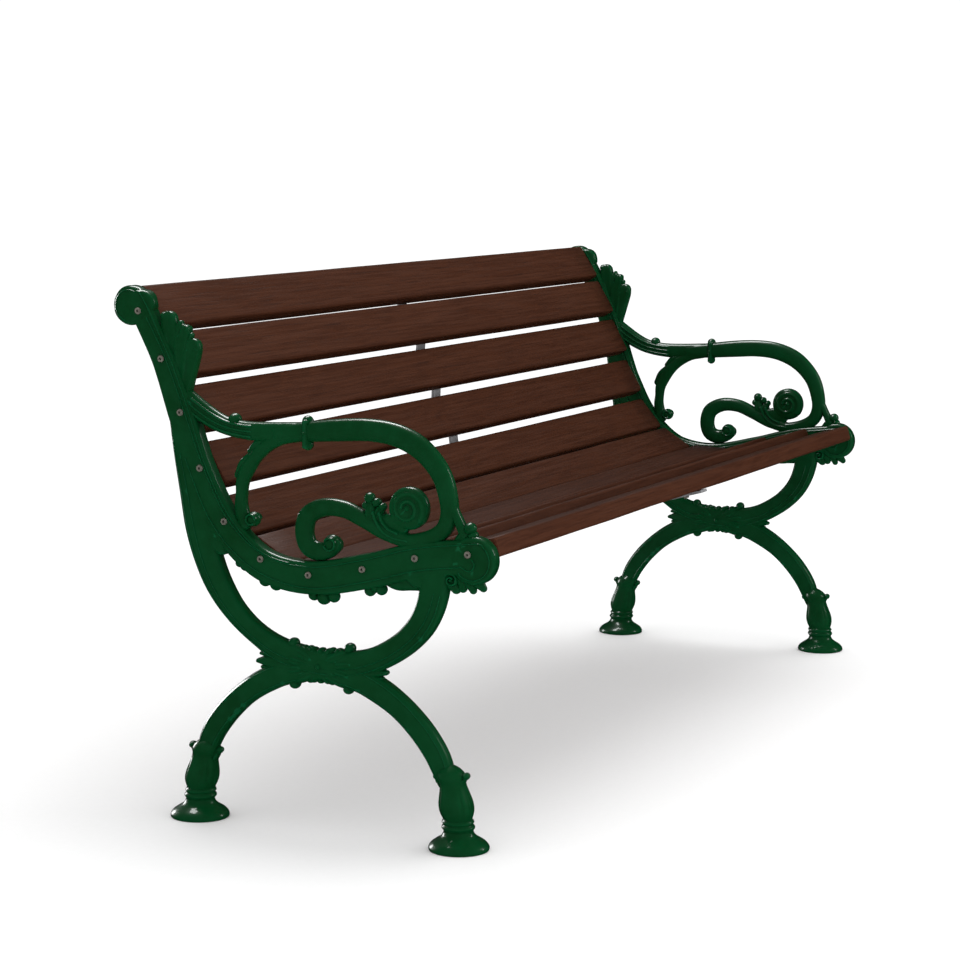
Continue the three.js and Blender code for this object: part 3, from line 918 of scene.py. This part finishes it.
def shaded(mesh, angle):
    """Smooth shading, with an edge wherever faces turn by more than the angle."""
    mesh.shade_smooth()
    mesh.set_sharp_from_angle(angle=math.radians(angle))
    return mesh


def board_mesh(name, seat, shift):
    """A board with rounded edges and eased ends, very slightly uneven along its length."""
    corner_sides = 6
    section = []
    for quarter, (side_x, side_y) in enumerate(((1, 1), (-1, 1), (-1, -1), (1, -1))):
        for step in range(corner_sides + 1):
            turn = (quarter + step / corner_sides) * math.pi / 2
            section.append((
                side_x * (BOARD_WIDTH / 2 - BOARD_ROUND) + BOARD_ROUND * math.cos(turn),
                side_y * (BOARD_THICKNESS / 2 - BOARD_ROUND) + BOARD_ROUND * math.sin(turn),
            ))
    section = np.array(section)
    ease = 0.0015
    stations = [0, 0.0006, 0.0016] + list(np.linspace(0.05, 0.95, 30)) + [-0.0016, -0.0006, 0]
    length = seat.high_x - seat.low_x
    places = []
    for number, station in enumerate(stations):
        if number < 3:
            places.append((seat.low_x + station, 1 - ease * (1 - station / 0.0016) / 0.02))
        elif number >= len(stations) - 3:
            places.append((seat.high_x + station, 1 - ease * (1 + station / 0.0016) / 0.02))
        else:
            places.append((seat.low_x + station * length, 1))
    rings = []
    for x, shrink in places:
        wave = 0.00025 * math.sin(9 * x + 5 * shift) + 0.0002 * math.sin(23 * x + 3 * shift)
        ring = [seat.at(x, shrink * u, shrink * v + wave) for u, v in section]
        rings.append([tuple(point) for point in ring])
    mesh = facing_out(Solid(np.array(rings)).mesh(name))
    board = mesh.attributes.new("board", "FLOAT_VECTOR", "POINT")
    for entry in board.data:
        entry.vector = (0.37 * shift, 0.61 * shift, 0.23 * shift)
    return shaded(mesh, 50)


def screw_mesh(name, origin, axis, diameter, head, length, socket):
    """A button-head screw with a hexagon socket; the head's underside is at origin."""
    sides = 48
    angle = np.linspace(0, 2 * math.pi, sides, endpoint=False)
    shank = diameter / 2
    profile = [
        (0.25 * shank, -length), (0.8 * shank, -length + shank), (shank, -length + 2 * shank),
        (shank, -0.0004), (head / 2 - 0.0006, 0), (head / 2, 0.0005), (head / 2, 0.0012),
        (head / 2 * 0.95, 0.0023), (head / 2 * 0.84, 0.0033), (head / 2 * 0.70, HEAD_HEIGHT - 0.0002),
        (head / 2 * 0.60, HEAD_HEIGHT),
    ]
    hexagon = socket / 2 / np.maximum.reduce([
        np.cos((angle - turn + math.pi) % (2 * math.pi) - math.pi)
        for turn in np.radians(np.arange(0, 360, 60))
    ]) * math.cos(math.pi / 6)
    rows = [(np.full(sides, radius), height) for radius, height in profile]
    rows += [
        (hexagon + 0.0005, HEAD_HEIGHT), (hexagon, HEAD_HEIGHT - 0.0005),
        (hexagon, HEAD_HEIGHT - 0.0042), (hexagon * 0.35, HEAD_HEIGHT - 0.0047),
    ]
    out = Vector(axis).normalized()
    first = out.orthogonal().normalized()
    second = out.cross(first)
    rings = []
    for radius, height in rows:
        centre = Vector(origin) + out * height
        rings.append([
            tuple(centre + (first * math.cos(turn) + second * math.sin(turn)) * float(r))
            for r, turn in zip(radius, angle)
        ])
    return shaded(facing_out(Solid(np.array(rings)).mesh(name)), 40)


def strap_mesh(name, seats):
    """The flat bar, lying on the back of each board and bent in the gaps."""
    low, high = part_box("centre_strap")
    width = high.x - low.x
    middle = BOARD_THICKNESS / 2 + CLEARANCE + STRAP_THICKNESS / 2
    rest = BOARD_WIDTH / 2 - 0.002
    path = []
    for seat in seats:
        for down in (-rest, -BOARD_WIDTH / 4, 0, BOARD_WIDTH / 4, rest):
            point = seat.at(0, down, middle)
            path.append((point.y, point.z))
    path = np.array(path)
    along = np.gradient(path, axis=0)
    along /= np.linalg.norm(along, axis=1)[:, None]
    square = np.stack([-along[:, 1], along[:, 0]], axis=1)
    ease = 0.0009
    section = []
    for quarter, (side_x, side_y) in enumerate(((1, 1), (-1, 1), (-1, -1), (1, -1))):
        for step in range(4):
            turn = (quarter + step / 3) * math.pi / 2
            section.append((
                side_x * (width / 2 - ease) + ease * math.cos(turn),
                side_y * (STRAP_THICKNESS / 2 - ease) + ease * math.sin(turn),
            ))
    rings = []
    for (y, z), (out_y, out_z) in zip(path, square):
        rings.append([(u + (low.x + high.x) / 2, y + out_y * v, z + out_z * v) for u, v in section])
    return shaded(facing_out(Solid(np.array(rings)).mesh(name)), 35)


# ---------------------------------------------------------------- assembly
enamel = green_enamel()
wood = stained_wood()
screw_steel = galvanised("galvanised_screw", (0.30, 0.285, 0.24), (0.13, 0.12, 0.10), 0.38)
strap_steel = galvanised("galvanised_strap", (0.42, 0.42, 0.43), (0.25, 0.25, 0.26), 0.42)

casting = shaded(casting_mesh(), 42)
for side in SIDES:
    copy = casting.copy()
    copy.transform(Matrix.Translation((FRAME_X[side], 0, 0)))
    piece(f"{side}_casting", copy, enamel, f"{side}_end_frame")

seats = {slat: Seat(slat) for slat in SLATS}
for number, slat in enumerate(SLATS):
    seat = seats[slat]
    board = board_mesh(f"{slat}_board", seat, number + 1)
    piece(f"{slat}_board", board, wood, slat)
    for side, direction in SIDES.items():
        low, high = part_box(f"{slat}_{side}_screw")
        outer = low.x if direction < 0 else high.x
        origin = (outer - direction * HEAD_HEIGHT, seat.centre.y, seat.centre.z)
        screw = screw_mesh(f"{slat}_{side}_socket_screw", origin, (direction, 0, 0), 0.006, 0.0105, 0.080,
                           0.0046)
        piece(screw.name, screw, screw_steel, f"{slat}_{side}_screw")
    origin = seat.at(0, 0, BOARD_THICKNESS / 2 + STRAP_THICKNESS + 2 * CLEARANCE)
    screw = screw_mesh(f"{slat}_strap_fixing", origin, seat.back, 0.005, 0.010, 0.025, 0.004)
    piece(screw.name, screw, screw_steel, f"{slat}_strap_screw")

strap = strap_mesh("bent_strap", list(seats.values()))
piece("bent_strap", strap, strap_steel, "centre_strap")


# ---------------------------------------------------------------- studio
def camera():
    """The three-quarter view from the front of the -X end, a little above the back."""
    yaw, pitch, roll = (math.radians(angle) for angle in (24.907, -9.431, 0.423))
    forward = Vector((math.cos(pitch) * math.cos(yaw), math.cos(pitch) * math.sin(yaw), math.sin(pitch)))
    level = Vector((math.sin(yaw), -math.cos(yaw), 0))
    upright = level.cross(forward)
    right = level * math.cos(roll) + upright * math.sin(roll)
    up = upright * math.cos(roll) - level * math.sin(roll)
    lens = bpy.data.cameras.new("view")
    lens.lens = 99.6
    lens.sensor_width = 36
    lens.shift_y = 0.1
    lens.clip_end = 60
    made = bpy.data.objects.new("view", lens)
    turn = Matrix((right, up, -forward)).transposed()
    made.matrix_world = Matrix.Translation((-4.345, -1.906, 1.051)) @ turn.to_4x4()
    bpy.context.scene.collection.objects.link(made)
    bpy.context.scene.camera = made


def lamp(name, kind, strength, towards, place=(0, 0, 0)):
    """A lamp that shines from its place in a direction."""
    light = bpy.data.lights.new(name, kind)
    light.energy = strength
    made = bpy.data.objects.new(name, light)
    made.location = place
    made.rotation_mode = "QUATERNION"
    made.rotation_quaternion = Vector(towards).to_track_quat("-Z", "Y")
    bpy.context.scene.collection.objects.link(made)
    return made


def softbox(name, place, size, strength, only_gloss=True):
    """A lit panel that faces the bench, for the shine or for the light but not both."""
    made = lamp(name, "AREA", strength, Vector((0, 0, 0.4)) - Vector(place), place)
    made.data.shape = "RECTANGLE"
    made.data.size, made.data.size_y = size
    made.visible_camera = False
    made.visible_diffuse = only_gloss is False
    made.visible_glossy = only_gloss


def white_room(seen, light):
    """White all round, with its own strength for the eye and for its light, and no shine."""
    world = bpy.data.worlds.new("studio")
    bpy.context.scene.world = world
    world.use_nodes = True
    nodes = world.node_tree.nodes
    links = world.node_tree.links
    ray = nodes.new("ShaderNodeLightPath")
    in_view = nodes.new("ShaderNodeMix")
    in_view.inputs[2].default_value = light
    in_view.inputs[3].default_value = seen
    links.new(ray.outputs["Is Camera Ray"], in_view.inputs[0])
    links.new(in_view.outputs[0], nodes["Background"].inputs["Strength"])
    nodes["Background"].inputs["Color"].default_value = (1, 1, 1, 1)
    world.cycles_visibility.glossy = False


def studio():
    """Pale floor, soft light from above and a little shine from three panels."""
    floor_mesh = bpy.data.meshes.new("floor")
    half = 400
    floor_mesh.from_pydata(
        [(-half, -half, 0), (half, -half, 0), (half, half, 0), (-half, half, 0)], [], [(0, 1, 2, 3)])
    floor = bpy.data.objects.new("floor", floor_mesh)
    floor_mesh.materials.append(studio_floor())
    floor.visible_glossy = False
    bpy.context.scene.collection.objects.link(floor)
    white_room(1.05, 1.0)
    key = lamp("key", "SUN", 0.95, (-0.5, 0.06, -1))
    key.data.angle = math.radians(45)
    key.visible_glossy = False
    softbox("front_fill", (-0.3, -3.2, 1.1), (2.4, 1.4), 20, only_gloss=False)
    softbox("overhead_strip", (0.4, 0.9, 3.4), (2.6, 0.9), 190)
    softbox("rear_strip", (0.9, 4.2, 0.9), (1.2, 1.8), 110)
    softbox("front_strip", (2.4, -3.6, 2.2), (0.4, 1.6), 24)
    bpy.context.scene.view_settings.view_transform = "Standard"


studio()
camera()
